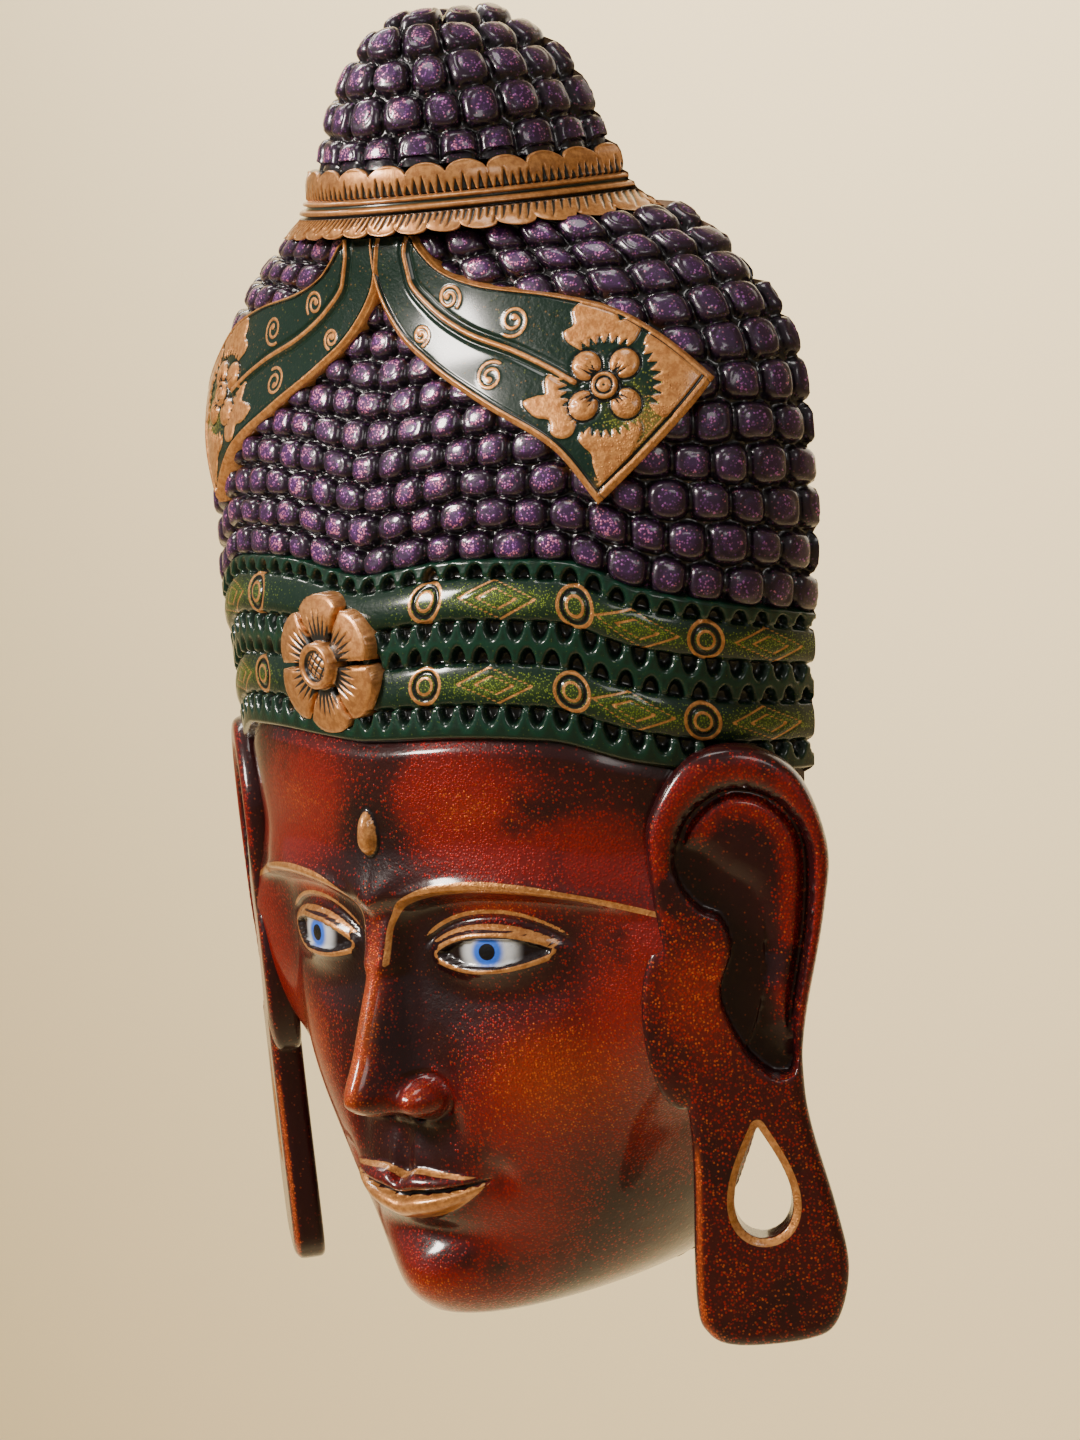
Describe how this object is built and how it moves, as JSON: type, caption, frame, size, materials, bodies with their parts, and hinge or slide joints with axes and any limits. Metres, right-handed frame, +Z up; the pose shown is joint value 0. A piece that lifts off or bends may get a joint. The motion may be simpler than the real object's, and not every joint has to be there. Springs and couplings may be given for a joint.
{
  "type": "buddha wall mask",
  "caption": "Carved and lacquered wooden wall mask of a calm head with curled hair, a topknot, side ribbons, a headband and long pierced ears, hollow behind.",
  "frame": {"origin": "the hanging point: a point of the flat back on the crown's midline, 25 mm below the blind hanging hole and 425 mm above the lobes' lower edges", "axes": "+Z up along the mask's height, +Y into the wall it hangs on, the face looks along -Y, +X to the viewer's right"},
  "size_m": [0.3076, 0.1306, 0.5029],
  "materials": {
    "red_lacquer": "glossy dark red lacquer over carved wood, dusted with orange on the high places",
    "purple_lacquer": "glossy purple-black lacquer, dusted with metallic violet on the curls' worn tops",
    "green_lacquer": "glossy green-black lacquer, dusted with metallic yellow-green",
    "gold_paint": "copper-gold metallic paint over carved wood",
    "bare_back": "dark stained bare wood with gouge marks"
  },
  "bodies": {
    "root": {"buddha_wall_mask": "red_lacquer"}
  },
  "joints": []
}
